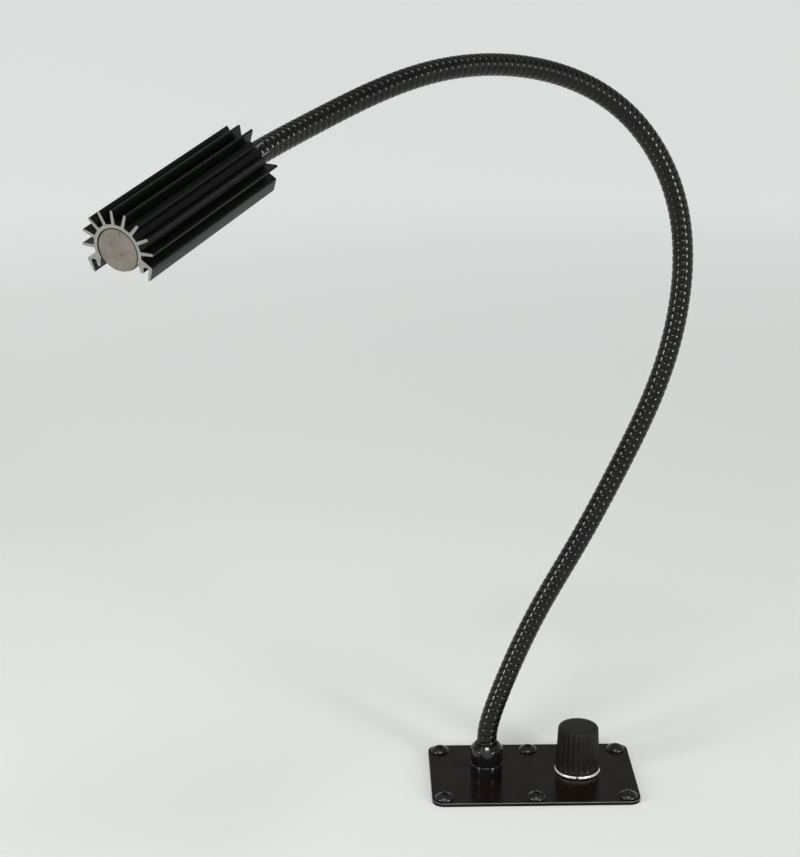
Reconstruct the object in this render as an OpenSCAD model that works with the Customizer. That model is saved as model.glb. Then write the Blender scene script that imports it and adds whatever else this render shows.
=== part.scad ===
// Gooseneck desk lamp: a screw-down plate with a dimmer knob, a coiled neck and a finned lamp head.
// The origin is the centre of the plate's underside, +X along the plate, +Y to the back, +Z up.
// The neck is one bendable coil, held here as equal short lengths with a hinge between each two.

/* [Base plate] */
// Length of the plate, left to right
plate_w = 89.2; // [84:0.1:110]
// Width of the plate, front to back
plate_d = 54.5; // [50:0.1:70]
// Thickness of the plate
plate_t = 1.6; // [1.2:0.1:3]
// Radius of the plate's corners
plate_corner_r = 5; // [2:0.5:7]
// Distance from the plate's edges to the middle of each screw
screw_inset = 5.2; // [4.8:0.1:6]

/* [Mounting screws] */
// Diameter of a screw's head
screw_head_d = 8.1; // [7:0.1:9]
// Height of a screw's domed head
screw_head_h = 2.3; // [1.8:0.1:3]
// Diameter of a screw's thread
screw_d = 4.17; // [3.5:0.01:4.8]
// Length of a screw under its head
screw_len = 19; // [12:1:32]

/* [Neck mounting] */
// Distance from the plate's middle to the neck, to the left
neck_offset = 20; // [18:0.5:24]
// Diameter of the collar round the neck's foot
collar_d = 13.9; // [12.6:0.1:17]
// Height of the collar with its foot ring above the plate
collar_h = 15; // [13:0.5:20]
// Height of the collar's foot ring
collar_foot_h = 5.8; // [4:0.1:6.5]
// Diameter of the threaded nipple that goes through the plate
nipple_d = 10; // [9.4:0.1:10.6]
// Length of the nipple under the plate
nipple_drop = 12; // [10:0.5:14]

/* [Neck] */
// Diameter of the neck over its ribs
neck_d = 8.7; // [8:0.1:9.2]
// Depth of the valleys between ribs
rib_depth = 0.45; // [0.3:0.05:0.8]
// Diameter of the neck's bore
neck_bore_d = 5; // [4.6:0.1:5.2]
// Ribs in each length of the neck
ribs_each = 14; // [8:1:14]
// Opening between two lengths at a hinge, in the bottom of a valley
hinge_gap = 0.9; // [0.8:0.01:0.95]
// Diameter of the lead inside the neck
lead_d = 4; // [3.4:0.1:4.2]
// Depth of the neck's end in the lamp head
neck_in_head = 9; // [7:0.5:11]

/* [Lamp head] */
// Length of the lamp head
head_len = 73.7; // [60:0.1:90]
// Direction that the head points, turned from +X
head_turn = -120.8; // [-126:0.1:-116]
// Angle that the head points down
head_dip = 13.1; // [8:0.1:18]
// Twist of the head about its own length
head_twist = -1.9; // [-10:0.1:10]
// Diameter over the fin tips
fin_tip_d = 27.34; // [24:0.02:32]
// Number of fins
fin_count = 9; // [5:2:9]
// Angle between two fins
fin_step = 22.1; // [16:0.1:22.2]
// Thickness of a fin at its tip
fin_t = 0.9; // [0.7:0.1:1.4]
// Diameter of the heat sink's bore
sink_bore_d = 15.5; // [15:0.1:16.4]
// Thickness of the heat sink's wall
sink_wall = 1.2; // [1:0.1:2]
// Recess of the core's face behind the heat sink's end
core_recess = 0.1; // [0.1:0.1:1.5]
// Width of the dark groove round the core's face
core_groove = 0.5; // [0.3:0.05:0.8]
// Distance from the head's front to the light's window
window_front = 8; // [6:0.5:14]

/* [Dimmer and knob] */
// Distance from the plate's middle to the knob, to the right
knob_offset = 20; // [18:0.5:22]
// Distance from the plate's middle line to the knob, to the back
knob_back = 2; // [0:0.5:3]
// Diameter of the knob's foot
knob_foot_d = 19.8; // [18.8:0.1:21]
// Diameter of the knob's top
knob_top_d = 17.5; // [16:0.1:18.4]
// Height of the knob with its ring
knob_h = 21; // [18:0.5:26]
// Number of grip flutes round the knob
flute_count = 24; // [12:1:28]
// Height of the bright ring round the knob's foot
ring_h = 1.1; // [0.8:0.1:2]
// Air between the plate and the knob's ring
knob_air = 0.5; // [0.4:0.1:1]
// Diameter of the dimmer's shaft
shaft_d = 6; // [5:0.1:6.2]
// Diameter of the dimmer's can
can_d = 16.5; // [15.5:0.1:18]
// Height of the dimmer's can under the plate
can_h = 9.6; // [9:0.1:10.6]

/* [Driver board] */
// Length of the driver board
board_w = 62; // [60:1:66]
// Width of the driver board
board_d = 34; // [32:1:36]
// Depth of the board's top face under the plate
board_drop = 16; // [15:0.5:19]

/* [Hidden] */

$fn = 64;
eps = 0.02;          // overshoot of a cut past the face that it opens
slip = 0.05;         // radial room of a thread or a pushed-in piece in its hole
soft_gap = 0.3;      // air left where a piece meets a cord or another moving piece
screw_room = 0.25;   // radial room of a mounting screw in the plate
set_screw_d = 3;
set_socket = 1.7;    // size of a set screw's hexagon socket

// Neck collar and nipple
neck_seat = 7.4;     // height of the neck's foot above the plate
collar_groove = 0.5; // depth and height of the groove over the foot ring
collar_slope = 2;    // height of the sloped shoulder round the neck
collar_lip = 0.7;    // width of the shoulder's top round the neck
nipple_bore = 6.4;
washer_t = 1;
washer_rim = 3.5;    // reach of the washer past the nipple
nut_t = 4.5;
nut_wall = 2.15;     // least thickness of the nut round the nipple

// Route of the neck: straight out of its collar, over these handles and straight into the head
route_step = 9;      // spacing of the handles on the two straight ends
neck_foot = [-neck_offset, 0, plate_t + neck_seat];
handles = [
    [-1, 8, 72],
    [17, 8, 103],
    [36, 14, 139],
    [58, 20, 185],
    [64, 26, 243],
    [40, 23, 288],
    [0, 3, 310],
    [-47, -37, 315],
    [-88, -73, 300]];
head_rear = [-113.7, -110.2, 291];
head_dir = [cos(head_dip) * cos(head_turn), cos(head_dip) * sin(head_turn), -sin(head_dip)];
head_front = head_rear + head_len * head_dir;
neck_end = head_rear + neck_in_head * head_dir;
up = [0, 0, 1];
route = concat(
    [for (i = [-1:2]) neck_foot + i * route_step * up],
    handles,
    [for (i = [-2:1]) neck_end + i * route_step * head_dir]);
spans = len(route) - 3;
span_steps = 16;

// A point of the smooth curve that the handles pull, t counting spans from the foot
function blend_at(t) =
    let (i = min(floor(t), spans - 1), u = t - i, v = 1 - u)
    (v * v * v * route[i] + (3 * u * u * u - 6 * u * u + 4) * route[i + 1]
    + (3 * v * v * v - 6 * v * v + 4) * route[i + 2] + u * u * u * route[i + 3]) / 6;
curve = [for (k = [0:spans * span_steps]) blend_at(k / span_steps)];
step_len = [for (k = [0:len(curve) - 1]) k == 0 ? 0 : norm(curve[k] - curve[k - 1])];
run = [for (k = 0, s = 0; k < len(curve); k = k + 1, s = s + (k < len(curve) ? step_len[k] : 0))
    [s, k / span_steps]];
neck_len = run[len(run) - 1][0];

// A point at a length along the neck, and the directions there: along, across and out of the arch
function at(s) =
    s < 0 ? neck_foot + s * up :
    s > neck_len ? neck_end + (s - neck_len) * head_dir :
    blend_at(lookup(s, run));
function unit(v) = v / norm(v);
function along(s) = unit(at(s + 0.1) - at(s - 0.1));
arch_top = curve[round(len(curve) / 2)];
arch_normal = unit(cross(arch_top - neck_foot, neck_end - neck_foot));
function out_of_arch(s) = let (t = along(s)) unit(arch_normal - (arch_normal * t) * t);
function across(s) = cross(along(s), out_of_arch(s));

// Lengths of the neck
lengths = 12;
one_len = neck_len / lengths;
rib_pitch = one_len / ribs_each;
rib_sides = 8;
hinge_neck_r = 3;    // radius of a length's end at a hinge, which leaves room to bend
bore_rings = 6;
lead_rings = 7;

// Board and what stands on it
board_t = 1.6;
board_top = -board_drop;
standoff_d = 4.4;
standoff_inset = 3.2;
small_screw_d = 2.5;
small_head_d = 4.6;
small_head_h = 1.8;
small_bite = 5;      // depth of a board screw in its standoff
board_room = 0.15;   // radial room of a board screw in the board
board_corner_r = 2;
inductor_d = 10;
inductor_h = 8;
inductor_rim = 1.2;  // thickness of the inductor's two flanges
inductor_in = 9;     // from the board's front edge to the inductor's middle
capacitor_d = 6.3;
capacitor_h = 7;
capacitor_in = [20, 5.5];    // from the board's left end and long edges to a capacitor's middle
chip_at = [-12, 8];
chip_size = [5, 4, 1.5];
chip_leg = [0.4, 1, 0.7];
chip_leg_step = 1.27;
jack_w = 9;
jack_h = 11;
jack_d = 14;
jack_bore_d = 6.3;
jack_bore_deep = 10;
jack_pin_d = 2.1;
jack_pin_in = 1;     // from the jack's mouth to the pin's tip

// Dimmer
bushing_wall = 0.6;
bushing_d = shaft_d + 2 * bushing_wall;
bushing_rise = 5.5;  // height of the dimmer's thread above the plate
flange_t = 1.3;
can_wall = 0.5;
dimmer_nut_t = 2;
dimmer_nut_wall = 1.5;
wiper_t = 0.8;
wiper_arm_w = 2;
wiper_tip_d = 2.6;
wiper_hub_wall = 1.2; // wall of the wiper's hub round the shaft
wiper_room = 1;      // air between the wiper's tip and the can's wall
track_t = 1.2;
track_w = 9;         // width of the track's tongue, which carries the terminals out of the can
track_out = 2.5;     // reach of the tongue past the can
track_room = 0.5;    // radial room of the shaft in the track
terminal_size = [1.2, 0.5];
terminal_step = 3;
terminal_in = 0.1;   // from the tongue's end to the terminals
running = 0.05;      // radial room of the turning shaft
shaft_flat = 1.5;    // depth of the flat on the shaft's back

// Knob
knob_z = plate_t + knob_air;
knob_roof = 3;       // thickness of the knob over its insert
insert_roof = 1;     // thickness of the insert over the shaft
shaft_top = knob_z + knob_h - knob_roof - insert_roof;
insert_d = 10;
skirt_wall = 1.7;
skirt_air = 1;       // air over the dimmer's thread
skirt_h = bushing_rise + skirt_air;
skirt_step = 0.2;    // step from the ring's edge in to the knob's skirt
flute_d = 1.3;
flute_from = 1.4;    // height of the flutes' lower ends over the ring
knob_round = 0.8;
knob_screw_rise = 3.5;    // height of the set screw in the insert
knob_screw_len = 6;
ring_notch = 1.2;
ring_notch_turn = -96;

// Lamp core, its window and the light board
core_d = sink_bore_d - 2 * slip;
core_groove_deep = 1.2;
window_w = 9.2;
core_web = 2.4;      // wall between the window and the neck's seat
window_len = head_len - window_front - core_web - soft_gap - neck_in_head;
window_roof = 0.6;   // height of the window's roof over the head's middle
lens_ledge = 0.5;
lens_t = 1;
lens_top = -4.2;
light_board_t = 1.2;
emitter_count = 6;
sleeve_wall = 0.75;
leg_end = -25;       // angle below the middle where each side of the wall turns into a leg
leg_lap = 14;        // angle over which a leg's root runs along the wall
leg_reach = 3.55;    // reach of a leg past the wall
leg_shoulder = 4.6;  // depth of a leg's shoulder under the head's middle
leg_bar = 0.3;       // height of a leg's blunt outer corner
leg_drop = 8.9;      // depth of a leg's outer prong
leg_hook = 6.6;      // depth of a leg's inner prong
leg_hook_t = 1.1;    // thickness of the inner prong
leg_roof = 4.4;      // depth of the roof of the slot between the prongs
leg_root = 1.35;     // thickness of the outer prong at the slot's roof
leg_tip = 0.7;       // thickness of the outer prong at its tip
leg_lean = 1.6;      // how far the outer prong's tip leans in
light_w = window_w - 4 * slip;
light_room = 1;      // air at each end of the light board
light_len = window_len - 2 * light_room;
light_front = window_front + light_room;
light_under = window_roof - light_board_t;
light_screw_d = 2;
light_screw_in = 2.5;    // from the light board's ends to its screws
light_screw_bite = 3;
light_head = [3.6, 1.2];    // diameter and height of a screw's head there
emitter_w = 3.5;
emitter_t = 0.8;
emitter_dome = 0.5;
emitter_in = 8;      // from the light board's ends to the first and last emitter

// A tube along the neck: rings of [length along the neck, radius], closed round into a ring of rings
module ring_tube(rings) {
    points = [for (g = rings) let (p = at(g[0]), a = out_of_arch(g[0]), b = across(g[0]))
        for (j = [0:rib_sides - 1]) let (w = (j + 0.5) * 360 / rib_sides)
            p + g[1] * (cos(w) * a + sin(w) * b)];
    n = len(rings);
    faces = [for (i = [0:n - 1], j = [0:rib_sides - 1])
        let (k = (j + 1) % rib_sides, m = (i + 1) % n,
            a = i * rib_sides + j, b = i * rib_sides + k, c = m * rib_sides + j, d = m * rib_sides + k)
        each [[a, b, d], [a, d, c]]];
    polyhedron(points, faces);
}

// A solid rod along the neck from one length to another
module rod_along(s0, s1, r, rings) {
    stops = [for (i = [0:rings - 1]) s0 + i * (s1 - s0) / (rings - 1)];
    points = concat(
        [for (s = stops) let (p = at(s), a = out_of_arch(s), b = across(s))
            for (j = [0:rib_sides - 1]) let (w = (j + 0.5) * 360 / rib_sides)
                p + r * (cos(w) * a + sin(w) * b)],
        [at(s0), at(s1)]);
    first = rings * rib_sides;
    last = (rings - 1) * rib_sides;
    faces = concat(
        [for (i = [0:rings - 2], j = [0:rib_sides - 1])
            let (k = (j + 1) % rib_sides, a = i * rib_sides + j, b = i * rib_sides + k)
            each [[a, b, b + rib_sides], [a, b + rib_sides, a + rib_sides]]],
        [for (j = [0:rib_sides - 1]) [first, (j + 1) % rib_sides, j]],
        [for (j = [0:rib_sides - 1]) [first + 1, last + j, last + (j + 1) % rib_sides]]);
    polyhedron(points, faces);
}

// One length of the neck: ribs outside, a plain bore inside, drawn in where it meets a hinge
module neck_length(i) {
    s0 = i * one_len;
    low = i == 0 ? s0 : s0 + hinge_gap / 2;
    high = i == lengths - 1 ? s0 + one_len : s0 + one_len - hinge_gap / 2;
    r = neck_d / 2;
    valley = r - rib_depth;
    outer = concat(
        [[low, i == 0 ? valley : hinge_neck_r]],
        [for (k = [0:ribs_each - 1]) each concat(
            k == 0 ? [] : [[s0 + k * rib_pitch, valley]],
            [[s0 + (k + 0.5) * rib_pitch, r]])],
        [[high, i == lengths - 1 ? valley : hinge_neck_r]]);
    inner = [for (k = [0:bore_rings - 1])
        [high - k * (high - low) / (bore_rings - 1), neck_bore_d / 2]];
    color("#1a1a1c") ring_tube(concat(outer, inner));
}

// The lead inside one length of the neck
module lead_length(i) {
    low = i == 0 ? board_top + soft_gap - neck_foot[2] : i * one_len + hinge_gap / 2;
    high = i == lengths - 1 ? neck_len + core_web : (i + 1) * one_len - hinge_gap / 2;
    color("#2b2b2e") rod_along(low, high, lead_d / 2, lead_rings);
}

// The four corner screws and the two in the middle of the long sides
module at_screws() {
    for (x = [-1, 0, 1], y = [-1, 1])
        translate([x * (plate_w / 2 - screw_inset), y * (plate_d / 2 - screw_inset), 0]) children();
}

module rounded_plate(w, d, r, t) {
    linear_extrude(t) union() {
        square([w - 2 * r, d], center = true);
        square([w, d - 2 * r], center = true);
        for (x = [-1, 1], y = [-1, 1]) translate([x * (w / 2 - r), y * (d / 2 - r)]) circle(r);
    }
}

module tube(h, d, bore) {
    difference() {
        cylinder(h = h, d = d);
        translate([0, 0, -eps]) cylinder(h = h + 2 * eps, d = bore);
    }
}

module dome(d, h, rim) {
    rise = h - rim;
    ball_r = (d * d / 4 + rise * rise) / (2 * rise);
    intersection() {
        cylinder(h = h, d = d);
        translate([0, 0, h - ball_r]) sphere(ball_r, $fn = 96);
    }
}

module at_neck_foot() { translate([-neck_offset, 0, 0]) children(); }
module at_knob() { translate([knob_offset, knob_back, 0]) children(); }

module base_plate() {
    color("#2a2624") difference() {
        rounded_plate(plate_w, plate_d, plate_corner_r, plate_t);
        at_screws() translate([0, 0, -eps]) cylinder(h = plate_t + 2 * eps, d = screw_d + 2 * screw_room);
        at_neck_foot() translate([0, 0, -eps]) cylinder(h = plate_t + 2 * eps, d = nipple_d + 4 * slip);
        at_knob() translate([0, 0, -eps]) cylinder(h = plate_t + 2 * eps, d = bushing_d + 4 * slip);
    }
}

module mounting_screw() {
    tip = screw_d;
    tip_end = 0.6;
    rim = 0.7;
    recess = 1.5;
    slot = 1;
    cross = screw_head_d * 0.54;
    neck = screw_d - 0.4;
    translate([0, 0, plate_t]) difference() {
        dome(screw_head_d, screw_head_h, rim);
        for (a = [0, 90]) rotate(a) translate([-cross / 2, -slot / 2, screw_head_h - recess])
            cube([cross, slot, recess + eps]);
    }
    cylinder(h = plate_t, d = neck);
    translate([0, 0, plate_t - screw_len + tip]) cylinder(h = screw_len - plate_t - tip, d = screw_d);
    translate([0, 0, plate_t - screw_len]) cylinder(h = tip, d1 = tip_end, d2 = screw_d);
}

module mounting_screws() { color("#161616") at_screws() rotate(30) mounting_screw(); }

module collar_foot() {
    edge = 0.4;
    color("#141414") at_neck_foot() translate([0, 0, plate_t]) difference() {
        union() {
            cylinder(h = collar_foot_h - edge, d = collar_d);
            translate([0, 0, collar_foot_h - edge]) cylinder(h = edge, d1 = collar_d, d2 = collar_d - 2 * edge);
        }
        translate([0, 0, -eps]) cylinder(h = collar_foot_h + 2 * eps, d = nipple_d + 2 * slip);
    }
}

module neck_collar() {
    low = collar_foot_h;
    shoulder = collar_h - collar_slope;
    color("#141414") at_neck_foot() translate([0, 0, plate_t]) difference() {
        union() {
            translate([0, 0, low]) cylinder(h = collar_groove, d = collar_d - 2 * collar_groove);
            translate([0, 0, low + collar_groove]) cylinder(h = shoulder - low - collar_groove, d = collar_d);
            translate([0, 0, shoulder]) cylinder(h = collar_slope, d1 = collar_d, d2 = neck_d + 2 * collar_lip);
        }
        translate([0, 0, low - eps]) cylinder(h = neck_seat - soft_gap - low + eps, d = nipple_d + 2 * slip);
        translate([0, 0, low]) cylinder(h = collar_h, d = neck_d + 4 * slip);
    }
}

module neck_nipple() {
    color("#b9a15a") at_neck_foot() translate([0, 0, -nipple_drop])
        tube(nipple_drop + plate_t + neck_seat - soft_gap, nipple_d, nipple_bore);
}

module nipple_washer() {
    color("silver") at_neck_foot() translate([0, 0, -washer_t])
        tube(washer_t, nipple_d + 2 * washer_rim, nipple_d + 4 * slip);
}

module nipple_nut() {
    flats = nipple_d + 2 * nut_wall;
    color("#b9a15a") at_neck_foot() translate([0, 0, -washer_t - nut_t]) difference() {
        cylinder(h = nut_t, d = flats / cos(30), $fn = 6);
        translate([0, 0, -eps]) cylinder(h = nut_t + 2 * eps, d = nipple_d + 2 * slip);
    }
}

module dimmer_bushing() {
    color("silver") at_knob() difference() {
        union() {
            translate([0, 0, -flange_t]) cylinder(h = flange_t, d = can_d);
            cylinder(h = plate_t + bushing_rise, d = bushing_d);
        }
        translate([0, 0, -flange_t - eps])
            cylinder(h = flange_t + plate_t + bushing_rise + 2 * eps, d = shaft_d + 2 * running);
    }
}

module dimmer_can() {
    deep = can_h - flange_t;
    color("#9a9c9f") at_knob() translate([0, 0, -can_h]) difference() {
        cylinder(h = deep, d = can_d);
        translate([0, 0, can_wall]) cylinder(h = deep, d = can_d - 2 * can_wall);
        translate([-track_w / 2, -can_d, can_wall]) cube([track_w, can_d, track_t + 2 * slip]);
    }
}

module dimmer_track() {
    color("#6b4a2b") at_knob() translate([0, 0, -can_h + can_wall]) difference() {
        union() {
            cylinder(h = track_t, d = can_d - 2 * can_wall - 4 * slip);
            translate([-track_w / 2 + slip, -can_d / 2 - track_out, 0])
                cube([track_w - 2 * slip, 2 * track_out, track_t]);
        }
        translate([0, 0, -eps]) cylinder(h = track_t + 2 * eps, d = shaft_d + 2 * track_room);
    }
}

module dimmer_terminals() {
    w = terminal_size[0];
    color("#c8b070") at_knob() for (i = [-1:1])
        translate([i * terminal_step - w / 2, -can_d / 2 - track_out + terminal_in, board_top])
            cube([w, terminal_size[1], board_drop - can_h + can_wall]);
}

module dimmer_nut() {
    color("silver") at_knob() translate([0, 0, plate_t]) difference() {
        cylinder(h = dimmer_nut_t, d = (bushing_d + 2 * dimmer_nut_wall) / cos(30), $fn = 6);
        translate([0, 0, -eps]) cylinder(h = dimmer_nut_t + 2 * eps, d = bushing_d + 2 * slip);
    }
}

module dimmer_shaft() {
    foot = -can_h + can_wall + soft_gap;
    color("#c9c9cc") at_knob() difference() {
        translate([0, 0, foot]) cylinder(h = shaft_top - foot, d = shaft_d);
        translate([-shaft_d, shaft_d / 2 - shaft_flat, plate_t + skirt_h])
            cube([2 * shaft_d, shaft_d, shaft_top]);
    }
}

module dimmer_wiper() {
    high = -can_h + can_wall + track_t + soft_gap;
    reach = can_d / 2 - can_wall - wiper_room;
    hub_d = shaft_d + 2 * wiper_hub_wall;
    color("#c8b070") at_knob() translate([0, 0, high]) difference() {
        union() {
            cylinder(h = wiper_t, d = hub_d);
            translate([0, -wiper_arm_w / 2, 0]) cube([reach, wiper_arm_w, wiper_t]);
            translate([reach - wiper_tip_d / 2, 0, 0]) cylinder(h = wiper_t, d = wiper_tip_d);
        }
        translate([0, 0, -eps]) cylinder(h = wiper_t + 2 * eps, d = shaft_d + eps);
    }
}

module knob() {
    low = knob_z + ring_h;
    high = knob_z + knob_h;
    foot_r = knob_foot_d / 2 - skirt_step;
    top_r = knob_top_d / 2;
    lean = atan((foot_r - top_r) / (high - low));
    cavity = skirt_h - ring_h - knob_air;
    color("#1c1b1a") at_knob() difference() {
        rotate_extrude() polygon([[0, low], [foot_r, low], [top_r, high - knob_round],
            [top_r - knob_round * 0.3, high - knob_round * 0.3], [top_r - knob_round, high], [0, high]]);
        for (i = [0:flute_count - 1]) rotate(i * 360 / flute_count)
            translate([foot_r + flute_d * 0.18, 0, low + flute_from]) rotate([0, -lean, 0])
                cylinder(h = knob_h, d = flute_d, $fn = 24);
        translate([0, 0, low - eps]) cylinder(h = cavity + eps, d = 2 * (foot_r - skirt_wall));
        translate([0, 0, low]) cylinder(h = shaft_top + insert_roof - low, d = insert_d + 2 * slip);
        translate([0, 0, low + cavity + knob_screw_rise]) rotate([-90, 0, 0])
            cylinder(h = knob_foot_d, d = set_screw_d + 4 * slip);
    }
}

module knob_ring() {
    color("#d9dadb") at_knob() translate([0, 0, knob_z]) difference() {
        tube(ring_h, knob_foot_d, knob_foot_d - 2 * skirt_wall);
        rotate(ring_notch_turn) translate([knob_foot_d / 2 - 0.5, -ring_notch / 2, -eps])
            cube([1, ring_notch, ring_h + 2 * eps]);
    }
}

module knob_insert() {
    foot = plate_t + skirt_h;
    color("#c8a850") at_knob() difference() {
        translate([0, 0, foot]) cylinder(h = shaft_top + insert_roof - foot, d = insert_d);
        translate([0, 0, foot - eps]) cylinder(h = shaft_top - foot + 2 * eps, d = shaft_d + eps);
        translate([0, 0, foot + knob_screw_rise]) rotate([-90, 0, 0])
            cylinder(h = knob_foot_d, d = set_screw_d + 2 * slip);
    }
}

// A headless screw with a hexagon socket in its far end
module set_screw(long, socket) {
    difference() {
        cylinder(h = long, d = set_screw_d);
        translate([0, 0, long - socket]) cylinder(h = socket + eps, d = set_socket, $fn = 6);
    }
}

module knob_set_screw() {
    foot = plate_t + skirt_h;
    color("#3a3a3a") at_knob() translate([0, shaft_d / 2 - shaft_flat + slip, foot + knob_screw_rise])
        rotate([-90, 0, 0]) set_screw(knob_screw_len, 1.5);
}

// Places on the board where it is screwed to the standoffs
module at_standoffs() {
    for (x = [-1, 1], y = [-1, 1])
        translate([x * (board_w / 2 - standoff_inset), y * (board_d / 2 - standoff_inset), 0]) children();
}

module board_standoffs() {
    color("silver") at_standoffs() translate([0, 0, board_top]) difference() {
        cylinder(h = board_drop, d = standoff_d);
        translate([0, 0, -eps]) cylinder(h = small_bite + 1, d = small_screw_d + 2 * slip);
    }
}

module board_screws() {
    cross = 2.6;
    slot = 0.6;
    color("#c9c9cc") at_standoffs() translate([0, 0, board_top - board_t]) {
        translate([0, 0, -small_head_h]) difference() {
            cylinder(h = small_head_h, d = small_head_d);
            for (a = [0, 90]) rotate(a) translate([-cross / 2, -slot / 2, -eps]) cube([cross, slot, 1]);
        }
        cylinder(h = board_t + small_bite, d = small_screw_d);
    }
}

module driver_board() {
    color("#1f6b3a") difference() {
        translate([0, 0, board_top - board_t]) rounded_plate(board_w, board_d, board_corner_r, board_t);
        at_standoffs() translate([0, 0, board_top - board_t - eps])
            cylinder(h = board_t + 2 * eps, d = small_screw_d + 2 * board_room);
    }
}

module driver_inductor() {
    dimple = 0.6;
    color("#3b3b3e") translate([0, inductor_in - board_d / 2, board_top]) difference() {
        union() {
            cylinder(h = inductor_rim, d = inductor_d);
            cylinder(h = inductor_h, d = inductor_d - 2 * inductor_rim);
            translate([0, 0, inductor_h - inductor_rim]) cylinder(h = inductor_rim, d = inductor_d);
        }
        translate([0, 0, inductor_h - dimple]) cylinder(h = dimple + eps, d = inductor_d / 5);
    }
}

module driver_capacitors() {
    rim = 0.5;
    color("#22304a") for (y = [-1, 1])
        translate([capacitor_in[0] - board_w / 2, y * (board_d / 2 - capacitor_in[1]), board_top]) {
            cylinder(h = capacitor_h, d = capacitor_d);
            translate([0, 0, capacitor_h]) cylinder(h = rim, d = capacitor_d - 2 * rim);
        }
}

module driver_chips() {
    under = board_top - board_t;
    color("#202022") for (x = chip_at) {
        translate([x - chip_size[0] / 2, -chip_size[1] / 2, under - chip_size[2]]) cube(chip_size);
        for (i = [-1.5:1.5], side = [-1, 1])
            translate([x + i * chip_leg_step, side * (chip_size[1] + chip_leg[1]) / 2, under - chip_leg[2]])
                translate([-chip_leg[0] / 2, -chip_leg[1] / 2, 0]) cube(chip_leg);
    }
}

module at_jack() { translate([0, board_d / 2, board_top + jack_h / 2]) rotate([90, 0, 0]) children(); }

module power_jack() {
    color("#202022") difference() {
        translate([-jack_w / 2, board_d / 2 - jack_d, board_top]) cube([jack_w, jack_d, jack_h]);
        at_jack() translate([0, 0, -eps]) cylinder(h = jack_bore_deep + eps, d = jack_bore_d);
    }
}

module power_jack_pin() {
    color("silver") at_jack() translate([0, 0, jack_pin_in])
        cylinder(h = jack_bore_deep - jack_pin_in, d = jack_pin_d);
}

// Everything in the lamp head is drawn with +X out of its front face and +Z up, from the face's middle
module in_head() {
    translate(head_front) rotate([head_twist, head_dip, head_turn]) children();
}

// An outline in the head's cross-section, made solid from one length behind the front face to another
module along_head(from, to) {
    translate([-to, 0, 0]) rotate([90, 0, 90]) linear_extrude(to - from) children();
}

module fin_outline() {
    root = sink_bore_d / 2 + sink_wall;
    tip = fin_tip_d / 2 - fin_t / 2;
    foot = fin_t;
    knee = fin_t * 0.62;
    polygon([[-foot, root - 0.3], [-knee, root + 0.35], [-fin_t / 2, tip],
        [fin_t / 2, tip], [knee, root + 0.35], [foot, root - 0.3]]);
    translate([0, tip]) circle(d = fin_t, $fn = 24);
}

// One leg beside the window: it leaves the wall, and splits into an outer and an inner prong
module leg_outline() {
    wall = sink_bore_d / 2 + sink_wall;
    inner = sink_bore_d / 2 + 0.1;
    top = leg_end + leg_lap;
    out = wall + leg_reach;
    polygon([
        [inner * cos(top), inner * sin(top)],
        [wall * cos(top), wall * sin(top)],
        [out - leg_bar / 4, leg_bar - leg_shoulder],
        [out, -leg_shoulder],
        [out - leg_lean, -leg_drop],
        [out - leg_lean - leg_tip, -leg_drop],
        [out - leg_root, -leg_roof],
        [inner + leg_hook_t + 0.2, -leg_roof],
        [inner + leg_hook_t - 0.1, -leg_hook],
        [inner - 0.1, -leg_hook],
        [inner - 0.4, leg_bar - leg_shoulder],
        [inner * cos(leg_end), inner * sin(leg_end)]]);
}

module heat_sink() {
    mid = (fin_count - 1) / 2;
    reach = fin_tip_d;
    color("#141315") in_head() {
        along_head(0, head_len) difference() {
            circle(sink_bore_d / 2 + sink_wall, $fn = 96);
            circle(sink_bore_d / 2, $fn = 96);
            polygon([[0, 0], [reach * cos(leg_end), reach * sin(leg_end)],
                [reach, -reach], [-reach, -reach], [-reach * cos(leg_end), reach * sin(leg_end)]]);
        }
        for (i = [-mid:mid]) along_head(0, head_len) rotate(i * fin_step) fin_outline();
        for (side = [0, 1]) along_head(0, head_len) mirror([side, 0]) leg_outline();
    }
}

module window_cut(w, top) {
    translate([-window_front - window_len, -w / 2, -core_d]) cube([window_len, w, core_d + top]);
}

module lamp_core() {
    rear = head_len;
    color("#a39a94") in_head() difference() {
        rotate([0, -90, 0]) union() {
            translate([0, 0, core_recess]) cylinder(h = core_groove_deep, d = sink_bore_d - 2 * core_groove);
            translate([0, 0, core_recess + core_groove_deep])
                cylinder(h = rear - core_recess - core_groove_deep, d = core_d);
        }
        window_cut(window_w, window_roof);
        window_cut(window_w + 2 * lens_ledge, lens_top);
        translate([-rear + neck_in_head + soft_gap, 0, 0]) rotate([0, -90, 0])
            cylinder(h = rear, d = neck_d + 2 * (sleeve_wall + 2 * slip));
        translate([-window_front - window_len + eps, 0, 0]) rotate([0, -90, 0])
            cylinder(h = rear, d = lead_d + 2 * soft_gap);
        translate([-rear + neck_in_head / 2, 0, 0]) rotate([180, 0, 0])
            cylinder(h = core_d, d = set_screw_d + 2 * slip);
        at_light_screws() cylinder(h = window_roof + light_screw_bite, d = light_screw_d + 2 * slip);
    }
}

module neck_end_sleeve() {
    color("#8d8d90") in_head() translate([-head_len + neck_in_head, 0, 0]) rotate([0, -90, 0])
        tube(neck_in_head, neck_d + 2 * (sleeve_wall + slip), neck_d + 4 * slip);
}

module core_set_screw() {
    seat = neck_d / 2 + sleeve_wall + 2 * slip;
    color("#3a3a3a") in_head() translate([-head_len + neck_in_head / 2, 0, -seat]) rotate([180, 0, 0])
        set_screw(core_d / 2 - seat - 0.3, 1);
}

// The two screws near the ends of the light board
module at_light_screws() {
    for (x = [light_screw_in, light_len - light_screw_in]) translate([-light_front - x, 0, 0]) children();
}

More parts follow.
